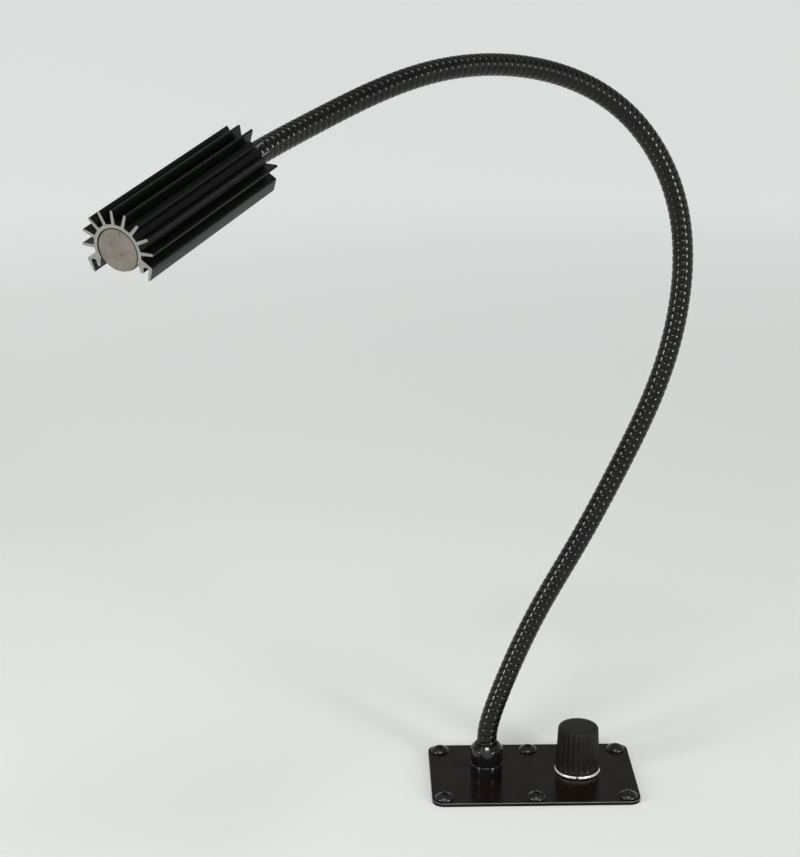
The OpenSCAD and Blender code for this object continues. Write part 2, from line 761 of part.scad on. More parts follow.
module led_board() {
    color("#e6e6e0") in_head() difference() {
        translate([-light_front - light_len, -light_w / 2, light_under]) cube([light_len, light_w, light_board_t]);
        at_light_screws() translate([0, 0, light_under - eps])
            cylinder(h = light_board_t + 2 * eps, d = light_screw_d + 4 * slip);
    }
}

module led_emitters() {
    step = (light_len - 2 * emitter_in) / (emitter_count - 1);
    color("#f2e28a") in_head() for (i = [0:emitter_count - 1])
        translate([-light_front - emitter_in - i * step, 0, light_under - emitter_t]) {
            translate([-emitter_w / 2, -emitter_w / 2, 0]) cube([emitter_w, emitter_w, emitter_t]);
            translate([0, 0, -emitter_dome]) cylinder(h = emitter_dome, d1 = emitter_w * 0.57, d2 = emitter_w * 0.8);
        }
}

module led_board_screws() {
    color("#c9c9cc") in_head() at_light_screws() {
        translate([0, 0, light_under - light_head[1]]) cylinder(h = light_head[1], d = light_head[0]);
        translate([0, 0, light_under]) cylinder(h = light_board_t + light_screw_bite - slip, d = light_screw_d);
    }
}

module lens() {
    wide = window_w + 2 * lens_ledge - 2 * slip;
    long = window_len - 2 * slip;
    color("#e8eef2", 0.6) in_head()
        translate([-window_front - slip - long, -wide / 2, lens_top - lens_t]) cube([long, wide, lens_t]);
}

base_plate();
mounting_screws();
collar_foot();
neck_collar();
neck_nipple();
nipple_washer();
nipple_nut();
dimmer_bushing();
dimmer_can();
dimmer_track();
dimmer_terminals();
dimmer_nut();
board_standoffs();
board_screws();
driver_board();
driver_inductor();
driver_capacitors();
driver_chips();
power_jack();
power_jack_pin();
knob();
knob_ring();
knob_insert();
knob_set_screw();
dimmer_shaft();
dimmer_wiper();
heat_sink();
lamp_core();
neck_end_sleeve();
core_set_screw();
led_board();
led_emitters();
led_board_screws();
lens();
neck_length(0);  // neck_01
neck_length(1);  // neck_02
neck_length(2);  // neck_03
neck_length(3);  // neck_04
neck_length(4);  // neck_05
neck_length(5);  // neck_06
neck_length(6);  // neck_07
neck_length(7);  // neck_08
neck_length(8);  // neck_09
neck_length(9);  // neck_10
neck_length(10);  // neck_11
neck_length(11);  // neck_12
lead_length(0);  // lead_01
lead_length(1);  // lead_02
lead_length(2);  // lead_03
lead_length(3);  // lead_04
lead_length(4);  // lead_05
lead_length(5);  // lead_06
lead_length(6);  // lead_07
lead_length(7);  // lead_08
lead_length(8);  // lead_09
lead_length(9);  // lead_10
lead_length(10);  // lead_11
lead_length(11);  // lead_12
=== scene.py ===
# Gooseneck desk lamp on its screw-down plate. Everything is in metres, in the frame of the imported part.
from math import sin, cos, tan, atan2, radians, pi, floor, sqrt

import bmesh
import bpy
import numpy as np
from mathutils import Matrix, Vector


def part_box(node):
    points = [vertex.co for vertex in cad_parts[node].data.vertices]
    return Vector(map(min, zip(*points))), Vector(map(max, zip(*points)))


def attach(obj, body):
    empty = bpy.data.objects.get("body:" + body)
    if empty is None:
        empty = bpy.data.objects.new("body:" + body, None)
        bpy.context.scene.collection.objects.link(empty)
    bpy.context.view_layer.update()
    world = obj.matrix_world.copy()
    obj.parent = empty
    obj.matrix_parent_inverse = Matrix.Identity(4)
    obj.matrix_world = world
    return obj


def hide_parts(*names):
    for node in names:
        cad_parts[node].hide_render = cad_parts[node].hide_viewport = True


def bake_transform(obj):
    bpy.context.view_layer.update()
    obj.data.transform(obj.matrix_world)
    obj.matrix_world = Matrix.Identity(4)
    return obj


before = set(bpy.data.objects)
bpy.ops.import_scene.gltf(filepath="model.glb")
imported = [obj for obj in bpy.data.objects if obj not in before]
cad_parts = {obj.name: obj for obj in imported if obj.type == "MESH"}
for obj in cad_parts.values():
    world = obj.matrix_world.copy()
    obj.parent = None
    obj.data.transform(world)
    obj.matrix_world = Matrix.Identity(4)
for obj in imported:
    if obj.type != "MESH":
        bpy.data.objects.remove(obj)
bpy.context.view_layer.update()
print("frame loaded:", len(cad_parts), "nodes")

mm = 0.001


def nodeBox(name):
    low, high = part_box(name)
    return Vector(low), Vector(high)


# ---------- small helpers for meshes ----------

def newPiece(name, verts, faces, materials, smoothAngle=35, faceSlots=None):
    mesh = bpy.data.meshes.new(name)
    mesh.from_pydata([tuple(v) for v in verts], [], faces)
    return dressMesh(name, mesh, materials, smoothAngle, faceSlots)


def dressMesh(name, mesh, materials, smoothAngle=35, faceSlots=None):
    mesh.validate()
    piece = bpy.data.objects.new(name, mesh)
    bpy.context.scene.collection.objects.link(piece)
    for material in materials:
        mesh.materials.append(material)
    if faceSlots is not None:
        mesh.polygons.foreach_set("material_index", faceSlots)
    fixNormals(mesh)
    smoothBelow(mesh, smoothAngle)
    return piece


def fixNormals(mesh):
    bm = bmesh.new()
    bm.from_mesh(mesh)
    bmesh.ops.recalc_face_normals(bm, faces=bm.faces)
    bm.to_mesh(mesh)
    bm.free()


def smoothBelow(mesh, angle):
    mesh.polygons.foreach_set("use_smooth", [True] * len(mesh.polygons))
    mesh.set_sharp_from_angle(angle=radians(angle))
    mesh.update()


# turns a profile of (radius, height) points round Z; a closed profile makes a ring
def latheMesh(profile, sides, closed=False):
    verts, faces = [], []
    for j in range(sides):
        turn = 2 * pi * j / sides
        for r, h in profile:
            verts.append((r * cos(turn), r * sin(turn), h))
    count = len(profile)
    last = count if closed else count - 1
    for j in range(sides):
        k = (j + 1) % sides
        for i in range(last):
            m = (i + 1) % count
            faces.append((j * count + i, k * count + i, k * count + m, j * count + m))
    return verts, faces


def latheCaps(verts, faces, count, sides):
    # closes an open profile at both ends with one flat face each
    faces.append(tuple(j * count for j in reversed(range(sides))))
    faces.append(tuple(j * count + count - 1 for j in range(sides)))
    return verts, faces


# replaces each corner (x, y, radius) of an outline with an arc
def roundOutline(corners, steps=5):
    points = []
    count = len(corners)
    for i in range(count):
        x, y, r = corners[i]
        here = Vector((x, y))
        before = Vector(corners[i - 1][:2]) - here
        after = Vector(corners[(i + 1) % count][:2]) - here
        if r <= 0 or before.length < 1e-9 or after.length < 1e-9:
            points.append(here)
            continue
        a, b = before.normalized(), after.normalized()
        half = a.angle(b) / 2
        if half < 0.02 or half > pi / 2 - 0.02:
            points.append(here)
            continue
        cut = min(r / tan(half), before.length * 0.49, after.length * 0.49)
        r = cut * tan(half)
        centre = here + (a + b).normalized() * (r / sin(half))
        start, end = here + a * cut - centre, here + b * cut - centre
        sweep = start.angle_signed(end)
        for k in range(steps + 1):
            turned = start.copy()
            turned.rotate(Matrix.Rotation(-sweep * k / steps, 2))
            points.append(centre + turned)
    return points


def placed(verts, matrix):
    return [matrix @ Vector(v) for v in verts]


def bevelEdges(piece, width, segments=2, angle=30):
    bevel = piece.modifiers.new("softEdges", "BEVEL")
    bevel.width = width
    bevel.segments = segments
    bevel.limit_method = "ANGLE"
    bevel.angle_limit = radians(angle)
    bevel.harden_normals = False


def applyModifiers(piece):
    bpy.context.view_layer.update()
    graph = bpy.context.evaluated_depsgraph_get()
    mesh = bpy.data.meshes.new_from_object(piece.evaluated_get(graph))
    piece.modifiers.clear()
    piece.data = mesh


def cutOut(piece, cutters):
    # takes the cutters away from a piece, then removes them
    for cutter in cutters:
        boolean = piece.modifiers.new("cut", "BOOLEAN")
        boolean.operation = "DIFFERENCE"
        boolean.solver = "EXACT"
        boolean.object = cutter
    applyModifiers(piece)
    for cutter in cutters:
        bpy.data.objects.remove(cutter)


def joinHelix(bm, rows, perTurn):
    # faces between rows of points that each go round once and climb one turn, which is perTurn rows
    last = len(rows[0]) - 1
    for i in range(len(rows) - 1):
        for j in range(last):
            bm.faces.new((rows[i][j], rows[i][j + 1], rows[i + 1][j + 1], rows[i + 1][j]))
        if i + 1 + perTurn < len(rows):
            bm.faces.new((rows[i][last], rows[i + perTurn][0], rows[i + perTurn + 1][0], rows[i + 1][last]))


def boxMesh(low, high):
    # corners in millimetres, for a cutter
    (a, b, c), (d, e, f) = low, high
    corners = [(a, b, c), (d, b, c), (d, e, c), (a, e, c), (a, b, f), (d, b, f), (d, e, f), (a, e, f)]
    sides = [(3, 2, 1, 0), (4, 5, 6, 7), (0, 1, 5, 4), (1, 2, 6, 5), (2, 3, 7, 6), (3, 0, 4, 7)]
    return [Vector(p) * mm for p in corners], sides


def solidBar(name, profile, low, high):
    # an upright bar with the outline profile, used as a cutter
    count = len(profile)
    verts = [(x, y, low) for x, y in profile] + [(x, y, high) for x, y in profile]
    faces = [tuple(reversed(range(count))), tuple(range(count, 2 * count))]
    faces += [(i, (i + 1) % count, count + (i + 1) % count, count + i) for i in range(count)]
    return newPiece(name, verts, faces, [])


def circlePoints(r, sides, x=0.0, y=0.0):
    return [(x + r * cos(2 * pi * i / sides), y + r * sin(2 * pi * i / sides)) for i in range(sides)]


def finishPiece(piece, body, slot, *nodes):
    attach(piece, body)
    if nodes:
        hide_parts(*nodes)


# ---------- camera, light and floor ----------

cameraView = {
    "place": (-76.8 * mm, -786.1 * mm, 411.3 * mm),
    "down": 17.70,       # degrees below the horizon
    "turn": -1.38,       # degrees, to the left when positive
    "focus": 1997,       # focal length in pixels of the 800 x 857 picture
    "pictureTall": 857,
}


def makeCamera():
    data = bpy.data.cameras.new("photoCamera")
    camera = bpy.data.objects.new("photoCamera", data)
    bpy.context.scene.collection.objects.link(camera)
    data.sensor_fit = "AUTO"
    data.sensor_width = 36
    data.lens = cameraView["focus"] * data.sensor_width / cameraView["pictureTall"]
    data.clip_start = 0.01
    data.clip_end = 50
    camera.location = cameraView["place"]
    camera.rotation_euler = (radians(90 - cameraView["down"]), 0, radians(cameraView["turn"]))
    bpy.context.scene.camera = camera


studio = {
    # the sky is pale at the horizon and dimmer overhead, between two heights (0 level, 1 straight up)
    "skyLow": 0.8,
    "skyHigh": 0.28,
    "skyFrom": 0.04,
    "skyTo": 0.5,
    "skyColor": (0.97, 1.0, 0.99, 1),
    "floorColor": (0.84, 0.85, 0.83, 1),
    "floorHalf": 6.0,
    "floorGap": 0.05 * mm,
    # panels of light: (compass angle from the front, distance, height of the middle, width, height, radiance, and
    # half the angle of the beam, in degrees: a grid over the panel keeps its light off the floor beside it)
    "panels": {
        "rightPanel": (40, 2.6, 0.5, 0.64, 1.16, 41, 16),
        "leftPanel": (-60, 1.25, 0.33, 0.2, 0.5, 26, 31),
        "topPanel": (0, 0.52, 1.2, 0.45, 0.2, 20, 31),
    },
    # the place that the panels face
    "middle": (-0.03, -0.03, 0.12),
    "sunStrength": 0.62,
    "sunAngle": 60,
    "sunTilt": (32, -14),
    # the far floor looks lighter, as a pale wall would: where that starts and ends, in metres, and how much
    "farFrom": 0.05,
    "farTo": 1.3,
    "farLift": 0.32,
    # the lift comes later on the camera's side, where the panels light the floor
    "nearSide": 0.8,
}


def panelLight(name, angle, away, up, width, tall, radiance, grid):
    data = bpy.data.lights.new(name, "AREA")
    data.shape = "RECTANGLE"
    data.size = width
    data.size_y = tall
    # the grid gathers the power into its beam, so less power gives the same radiance along the middle
    half = radians(grid)
    data.spread = 2 * half
    data.energy = pi * width * tall * radiance * (tan(half) - half) / tan(half)
    light = bpy.data.objects.new(name, data)
    bpy.context.scene.collection.objects.link(light)
    middle = Vector(studio["middle"])
    light.location = middle + Vector((sin(radians(angle)) * away, -cos(radians(angle)) * away, up - middle.z))
    light.rotation_euler = (middle - light.location).to_track_quat("-Z", "Y").to_euler()


def makeStudio():
    for name, panel in studio["panels"].items():
        panelLight(name, *panel)
    sun = bpy.data.objects.new("softSun", bpy.data.lights.new("softSun", "SUN"))
    sun.data.energy = studio["sunStrength"]
    sun.data.angle = radians(studio["sunAngle"])
    sun.rotation_euler = (*(radians(tilt) for tilt in studio["sunTilt"]), 0)
    bpy.context.scene.collection.objects.link(sun)
    world = bpy.data.worlds.new("studioWorld")
    bpy.context.scene.world = world
    world.use_nodes = True
    background = world.node_tree.nodes["Background"]
    background.inputs["Color"].default_value = studio["skyColor"]
    nodes, links = world.node_tree.nodes, world.node_tree.links
    split = nodes.new("ShaderNodeSeparateXYZ")
    links.new(nodes.new("ShaderNodeTexCoord").outputs["Generated"], split.inputs[0])
    fade = nodes.new("ShaderNodeMapRange")
    fade.interpolation_type = "SMOOTHSTEP"
    for place, key in ((1, "skyFrom"), (2, "skyTo"), (3, "skyLow"), (4, "skyHigh")):
        fade.inputs[place].default_value = studio[key]
    links.new(split.outputs["Z"], fade.inputs["Value"])
    links.new(fade.outputs["Result"], background.inputs["Strength"])
    bpy.context.scene.view_settings.view_transform = "Standard"


def makeFloor():
    half = studio["floorHalf"]
    mesh = bpy.data.meshes.new("studioFloor")
    corners = [(-half, -half, 0), (half, -half, 0), (half, half, 0), (-half, half, 0)]
    mesh.from_pydata(corners, [], [(0, 1, 2, 3)])
    ground = bpy.data.objects.new("studioFloor", mesh)
    # a hair under the plate, so that the two faces don't meet
    ground.location.z = -studio["floorGap"]
    bpy.context.scene.collection.objects.link(ground)
    material, nodes, links, shader = newMaterial("paleFloor")
    shader.inputs["Base Color"].default_value = studio["floorColor"]
    shader.inputs["Roughness"].default_value = 0.9
    shader.inputs["Specular IOR Level"].default_value = 0.1
    # the lift is seen by the camera, in gloss and through glass, and lights nothing
    points = pointsOf(nodes, links)
    away = nodes.new("ShaderNodeVectorMath")
    away.operation = "LENGTH"
    links.new(points, away.inputs[0])
    inFront = calc(nodes, links, "MINIMUM", splitPoints(nodes, links, points)[1], 0.0)
    delay = calc(nodes, links, "MULTIPLY", inFront, studio["nearSide"])
    reach = calc(nodes, links, "ADD", away.outputs["Value"], delay)
    far = spread(nodes, links, reach, 0, studio["farLift"], studio["farFrom"], studio["farTo"])
    rays = nodes.new("ShaderNodeLightPath")
    seen = rays.outputs["Is Camera Ray"]
    for other in ("Is Glossy Ray", "Is Transmission Ray"):
        seen = calc(nodes, links, "MAXIMUM", seen, rays.outputs[other])
    links.new(calc(nodes, links, "MULTIPLY", far, seen), shader.inputs["Emission Strength"])
    shader.inputs["Emission Color"].default_value = studio["skyColor"]
    mesh.materials.append(material)


# ---------- materials ----------

def newMaterial(name):
    material = bpy.data.materials.new(name)
    material.use_nodes = True
    nodes, links = material.node_tree.nodes, material.node_tree.links
    return material, nodes, links, nodes["Principled BSDF"]


def pointsOf(nodes, links, scale=(1, 1, 1), turn=(0, 0, 0), move=(0, 0, 0)):
    # the piece's own coordinates, turned back into a part's frame and then stretched
    coords = nodes.new("ShaderNodeTexCoord")
    shift = nodes.new("ShaderNodeMapping")
    shift.vector_type = "TEXTURE"
    shift.inputs["Location"].default_value = move
    shift.inputs["Rotation"].default_value = turn
    links.new(coords.outputs["Object"], shift.inputs["Vector"])
    stretch = nodes.new("ShaderNodeMapping")
    stretch.inputs["Scale"].default_value = scale
    links.new(shift.outputs["Vector"], stretch.inputs["Vector"])
    return stretch.outputs["Vector"]


def calc(nodes, links, operation, *values):
    # one step of arithmetic on sockets or plain numbers
    step = nodes.new("ShaderNodeMath")
    step.operation = operation
    for i, value in enumerate(values):
        if isinstance(value, (int, float)):
            step.inputs[i].default_value = value
        else:
            links.new(value, step.inputs[i])
    return step.outputs[0]


def mixColors(nodes, links, share, first, second):
    # second over first; first may be a socket
    mix = nodes.new("ShaderNodeMix")
    mix.data_type = "RGBA"
    links.new(share, mix.inputs["Factor"])
    if isinstance(first, tuple):
        mix.inputs["A"].default_value = (*first, 1)
    else:
        links.new(first, mix.inputs["A"])
    mix.inputs["B"].default_value = (*second, 1)
    return mix.outputs["Result"]


def splitPoints(nodes, links, points):
    split = nodes.new("ShaderNodeSeparateXYZ")
    links.new(points, split.inputs[0])
    return split.outputs["X"], split.outputs["Y"], split.outputs["Z"]


def noise(nodes, links, vector, scale, detail=3.0, rough=0.5):
    texture = nodes.new("ShaderNodeTexNoise")
    texture.inputs["Scale"].default_value = scale
    texture.inputs["Detail"].default_value = detail
    texture.inputs["Roughness"].default_value = rough
    links.new(vector, texture.inputs["Vector"])
    return texture.outputs["Fac"]


def spread(nodes, links, value, low, high, fromLow=0.3, fromHigh=0.7):
    stretch = nodes.new("ShaderNodeMapRange")
    stretch.inputs["From Min"].default_value = fromLow
    stretch.inputs["From Max"].default_value = fromHigh
    stretch.inputs["To Min"].default_value = low
    stretch.inputs["To Max"].default_value = high
    links.new(value, stretch.inputs["Value"])
    return stretch.outputs["Result"]


def twoTones(nodes, links, value, dark, light, low=0.35, high=0.65):
    ramp = nodes.new("ShaderNodeValToRGB")
    ramp.color_ramp.elements[0].position = low
    ramp.color_ramp.elements[0].color = (*dark, 1)
    ramp.color_ramp.elements[1].position = high
    ramp.color_ramp.elements[1].color = (*light, 1)
    links.new(value, ramp.inputs["Fac"])
    return ramp.outputs["Color"]


def bump(nodes, links, height, strength, depth, below=None):
    relief = nodes.new("ShaderNodeBump")
    relief.inputs["Strength"].default_value = strength
    relief.inputs["Distance"].default_value = depth
    links.new(height, relief.inputs["Height"])
    if below is not None:
        links.new(below, relief.inputs["Normal"])
    return relief.outputs["Normal"]


# paint: an even coat with a fine orange peel and patches that shine a little more or less. A painted highlight, as
# (colour, low, high) in millimetres, is a paler band between two heights, painted where an edge catches the light
def paintMaterial(name, dark, light, rough=(0.3, 0.4), grain=1.2, peel=0.02, shine=0.5, paintedHighlight=None):
    material, nodes, links, shader = newMaterial(name)
    points = pointsOf(nodes, links)
    cloud = noise(nodes, links, points, 90, 4)
    fine = noise(nodes, links, points, 1000 / grain, 2)
    color = twoTones(nodes, links, cloud, dark, light)
    # painted highlight: the band's pale colour stands in for the light that an edge catches
    if paintedHighlight:
        highlightColor, low, high = paintedHighlight
        height = splitPoints(nodes, links, points)[2]
        highlightBand = calc(nodes, links, "COMPARE", height, (low + high) / 2 * mm, (high - low) / 2 * mm)
        color = mixColors(nodes, links, highlightBand, color, highlightColor)
    links.new(color, shader.inputs["Base Color"])
    links.new(spread(nodes, links, cloud, *rough), shader.inputs["Roughness"])
    links.new(bump(nodes, links, fine, 0.25, peel * mm), shader.inputs["Normal"])
    shader.inputs["Specular IOR Level"].default_value = shine
    return material


# metal with fine lines: stretch gives the lines' direction as unequal scales
def linedMetal(name, dark, light, rough=(0.25, 0.4), stretch=(40, 40, 1800), turn=(0, 0, 0), move=(0, 0, 0),
               relief=0.01, metallic=1.0, shine=0.5):
    material, nodes, links, shader = newMaterial(name)
    lines = noise(nodes, links, pointsOf(nodes, links, stretch, turn, move), 1.0, 3, 0.6)
    cloud = noise(nodes, links, pointsOf(nodes, links), 120, 3)
    links.new(twoTones(nodes, links, lines, dark, light, 0.3, 0.7), shader.inputs["Base Color"])
    links.new(spread(nodes, links, cloud, *rough), shader.inputs["Roughness"])
    links.new(bump(nodes, links, lines, 0.4, relief * mm), shader.inputs["Normal"])
    shader.inputs["Metallic"].default_value = metallic
    shader.inputs["Specular IOR Level"].default_value = shine
    return material


# metal turned on a lathe: rings round an axis through the point middle
def turnedMetal(name, dark, light, middle, turn=(0, 0, 0), plane=(0, 1, 1), rough=(0.25, 0.45), pitch=0.25,
                relief=0.012, metallic=1.0):
    material, nodes, links, shader = newMaterial(name)
    points = pointsOf(nodes, links, plane, turn, middle)
    length = nodes.new("ShaderNodeVectorMath")
    length.operation = "LENGTH"
    links.new(points, length.inputs[0])
    rings = nodes.new("ShaderNodeTexNoise")
    rings.noise_dimensions = "1D"
    rings.inputs["Scale"].default_value = 1000 / pitch
    rings.inputs["Detail"].default_value = 3
    links.new(length.outputs["Value"], rings.inputs["W"])
    cloud = noise(nodes, links, pointsOf(nodes, links), 260, 4)
    blend = nodes.new("ShaderNodeMix")
    blend.data_type = "FLOAT"
    blend.inputs["Factor"].default_value = 0.45
    links.new(rings.outputs["Fac"], blend.inputs["A"])
    links.new(cloud, blend.inputs["B"])
    links.new(twoTones(nodes, links, blend.outputs["Result"], dark, light), shader.inputs["Base Color"])
    links.new(spread(nodes, links, cloud, *rough), shader.inputs["Roughness"])
    links.new(bump(nodes, links, rings.outputs["Fac"], 0.5, relief * mm), shader.inputs["Normal"])
    shader.inputs["Metallic"].default_value = metallic
    return material


# moulded plastic: a fine matt grain and slight mottling
def mouldedPlastic(name, dark, light, rough=(0.35, 0.5), grain=0.35, relief=0.01, shine=0.5):
    material, nodes, links, shader = newMaterial(name)
    points = pointsOf(nodes, links)
    cloud = noise(nodes, links, points, 150, 4)
    fine = noise(nodes, links, points, 1000 / grain, 2)
    links.new(twoTones(nodes, links, cloud, dark, light), shader.inputs["Base Color"])
    links.new(spread(nodes, links, cloud, *rough), shader.inputs["Roughness"])
    links.new(bump(nodes, links, fine, 0.3, relief * mm), shader.inputs["Normal"])
    shader.inputs["Specular IOR Level"].default_value = shine
    return material


# a screw thread on a plain cylinder: slanted rings round an upright axis through middle
def threadedMetal(name, dark, light, middle, pitch=0.8, rough=(0.25, 0.4)):
    material, nodes, links, shader = newMaterial(name)
    x, y, z = splitPoints(nodes, links, pointsOf(nodes, links, move=middle))
    climb = calc(nodes, links, "MULTIPLY", z, 2 * pi / (pitch * mm))
    angle = calc(nodes, links, "ADD", climb, calc(nodes, links, "ARCTAN2", y, x))
    height = spread(nodes, links, calc(nodes, links, "SINE", angle), 0, 1, -1, 1)
    cloud = noise(nodes, links, pointsOf(nodes, links), 400, 3)
    links.new(twoTones(nodes, links, height, dark, light, 0.1, 0.6), shader.inputs["Base Color"])
    links.new(spread(nodes, links, cloud, *rough), shader.inputs["Roughness"])
    links.new(bump(nodes, links, height, 0.8, 0.25 * pitch * mm), shader.inputs["Normal"])
    shader.inputs["Metallic"].default_value = 1.0
    return material


# circuit board: solder mask over copper tracks and pads
def circuitBoard(name, mask, track, tin=(0.56, 0.57, 0.56), pitch=2.5):
    material, nodes, links, shader = newMaterial(name)
    points = pointsOf(nodes, links)
    cells = nodes.new("ShaderNodeTexVoronoi")
    cells.distance = "MANHATTAN"
    cells.inputs["Scale"].default_value = 1000 / pitch / 2
    cells.inputs["Randomness"].default_value = 0.75
    links.new(points, cells.inputs["Vector"])
    tracks = spread(nodes, links, cells.outputs["Distance"], 1, 0, 0.42, 0.5)
    fibre = noise(nodes, links, points, 900, 2)
    # a tinned joint in the middle of each field
    joints = spread(nodes, links, cells.outputs["Distance"], 1, 0, 0.13, 0.16)
    fields = mixColors(nodes, links, tracks, mask, track)
    links.new(mixColors(nodes, links, joints, fields, tin), shader.inputs["Base Color"])
    links.new(joints, shader.inputs["Metallic"])
    links.new(spread(nodes, links, fibre, 0.25, 0.45), shader.inputs["Roughness"])
    relief = bump(nodes, links, tracks, 0.4, 0.03 * mm)
    links.new(bump(nodes, links, joints, 0.8, 0.2 * mm, relief), shader.inputs["Normal"])
    return material


def clearPlastic(name, tint):
    material, nodes, links, shader = newMaterial(name)
    frost = noise(nodes, links, pointsOf(nodes, links), 1500, 2)
    shader.inputs["Base Color"].default_value = (*tint, 1)
    shader.inputs["Transmission Weight"].default_value = 0.85
    shader.inputs["IOR"].default_value = 1.49
    links.new(spread(nodes, links, frost, 0.18, 0.32), shader.inputs["Roughness"])
    links.new(bump(nodes, links, frost, 0.3, 0.01 * mm), shader.inputs["Normal"])
    return material


# ---------- the neck's route, in millimetres, with the same handles as in the part's source ----------

neckRoute = {
    "step": 9,            # between the handles that hold each end straight
    "seat": 7.4,          # height of the neck's foot above the plate
    "intoHead": 9,        # from the head's rear to the neck's end
    "headRear": (-113.7, -110.2, 291),
    "headTurn": -120.8,
    "headDip": 13.1,
    "headTwist": -1.9,
    "headLong": 73.7,
    "handles": [(-1, 8, 72), (17, 8, 103), (36, 14, 139), (58, 20, 185), (64, 26, 243),
                (40, 23, 288), (0, 3, 310), (-47, -37, 315), (-88, -73, 300)],
    "lengths": 12,
    "turnsEach": 14,      # turns of the coil in each length
    "perSpan": 16,        # points of the route between two handles
    "footX": -20,
}


def makeRoute():
    plateTop = nodeBox("base_plate")[1].z / mm
    foot = Vector((neckRoute["footX"], 0, plateTop + neckRoute["seat"]))
    turn, dip = radians(neckRoute["headTurn"]), radians(neckRoute["headDip"])
    headDir = Vector((cos(dip) * cos(turn), cos(dip) * sin(turn), -sin(dip)))
    end = Vector(neckRoute["headRear"]) + neckRoute["intoHead"] * headDir
    step, perSpan = neckRoute["step"], neckRoute["perSpan"]
    handles = [foot + Vector((0, 0, i * step)) for i in (-1, 0, 1, 2)]
    handles += [Vector(h) for h in neckRoute["handles"]]
    handles += [end + headDir * (i * step) for i in (-2, -1, 0, 1)]
    spans = len(handles) - 3
    points = []
    for k in range(spans * perSpan + 1):
        i = min(k // perSpan, spans - 1)
        u = k / perSpan - i
        v = 1 - u
        a, b, c, d = handles[i:i + 4]
        points.append((v ** 3 * a + (3 * u ** 3 - 6 * u * u + 4) * b
                       + (3 * v ** 3 - 6 * v * v + 4) * c + u ** 3 * d) / 6)
    points = np.array(points) * mm
    run = np.r_[0, np.cumsum(np.linalg.norm(np.diff(points, axis=0), axis=1))]
    return points, run, headDir, foot * mm, end * mm


routePoints, routeRun, headDir, neckFoot, neckEnd = makeRoute()
neckLong = routeRun[-1]
headFront = Vector(neckRoute["headRear"]) * mm + headDir * neckRoute["headLong"] * mm
archTop = Vector(routePoints[round(len(routePoints) / 2)])
archNormal = (archTop - neckFoot).cross(neckEnd - neckFoot).normalized()


def neckAt(s):
    if s < 0:
        return neckFoot + Vector((0, 0, s))
    if s > neckLong:
        return neckEnd + headDir * (s - neckLong)
    return Vector([np.interp(s, routeRun, routePoints[:, k]) for k in range(3)])


def neckFrame(s):
    along = (neckAt(s + 0.4 * mm) - neckAt(s - 0.4 * mm)).normalized()
    out = (archNormal - along * archNormal.dot(along)).normalized()
    return neckAt(s), along, out, along.cross(out)


# ---------- neck: a coil of flat turns with a shallow groove between them ----------

coil = {
    "radius": 4.35 * mm,
    "valley": 0.3 * mm,    # depth between two turns
    "bore": 2.6 * mm,
    "around": 32,
    # one turn in cross-section: (share of the pitch, share of the valley's depth)
    "turnShape": [(0.0, 1.0), (0.035, 0.8), (0.08, 0.42), (0.14, 0.2), (0.26, 0.06), (0.5, 0.0),
                  (0.74, 0.06), (0.86, 0.2), (0.92, 0.42), (0.965, 0.8)],
    "margin": 1.4,         # turns drawn past each cut, before the cut
    "boreAround": 16,
    "ease": 1.5 * mm,      # straight length left at both ends of a bend
}


def coilBand(low, high, pitch):
    # the skin of the coil from low to high along the neck, wound as one helix
    shape = coil["turnShape"]
    m, n = len(shape), coil["around"]
    first, last = floor(low / pitch) * m, (floor(high / pitch) + 1) * m
    bm = bmesh.new()
    rows = []
    for i in range(first, last + 1):
        turns, k = divmod(i, m)
        row = []
        for j in range(n):
            place, along, out, side = frameTable((turns + shape[k][0] + j / n) * pitch)
            w = 2 * pi * j / n
            r = coil["radius"] - coil["valley"] * shape[k][1]
            row.append(bm.verts.new(place + (out * cos(w) + side * sin(w)) * r))
        rows.append(row)
    joinHelix(bm, rows, m)
    return bm


# places along the neck, worked out once for each step of this length
frameStep = 0.01 * mm
frameCache = {}


def frameTable(s):
    key = round(s / frameStep)
    if key not in frameCache:
        frameCache[key] = neckFrame(key * frameStep)
    return frameCache[key]


def boreTube(bm, low, high, pitch):
    # plain inner wall, one ring a turn
    n = coil["boreAround"]
    rings = []
    count = int((high - low) / pitch) + 2
    for i in range(count + 1):
        place, along, out, side = frameTable(low + (high - low) * i / count)
        rings.append([bm.verts.new(place + (out * x + side * y) * coil["bore"]) for x, y in circlePoints(1, n)])
    for i in range(count):
        for j in range(n):
            k = (j + 1) % n
            bm.faces.new((rings[i][j], rings[i + 1][j], rings[i + 1][k], rings[i][k]))


def cutSquare(bm, s, keepAfter):
    place, along, out, side = neckFrame(s)
    normal = -along if keepAfter else along
    cut = bmesh.ops.bisect_plane(bm, geom=bm.verts[:] + bm.edges[:] + bm.faces[:], dist=1e-7,
                                 plane_co=place, plane_no=normal, clear_outer=True)
    edges = [e for e in cut["geom_cut"] if isinstance(e, bmesh.types.BMEdge)]
    bmesh.ops.bridge_loops(bm, edges=edges)


def makeNeck(material):
    one = neckLong / neckRoute["lengths"]
    pitch = one / neckRoute["turnsEach"]
    cuts = [0.0] + [(k + 0.5) * one for k in range(1, neckRoute["lengths"] - 1)] + [neckLong]
    for k in range(neckRoute["lengths"] - 1):
        low, high = cuts[k], cuts[k + 1]
        margin = coil["margin"] * pitch
        bm = coilBand(low - margin, high + margin, pitch)
        boreTube(bm, low - margin / 2, high + margin / 2, pitch)
        cutSquare(bm, low, True)
        cutSquare(bm, high, False)
        mesh = bpy.data.meshes.new(f"neck_coil_{k + 1:02d}")
        bm.to_mesh(mesh)
        bm.free()
        piece = dressMesh(mesh.name, mesh, [material], 60)
        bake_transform(piece)
        covers = [f"neck_{k + 1:02d}"] if k < neckRoute["lengths"] - 2 else ["neck_11", "neck_12"]
        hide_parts(*covers)


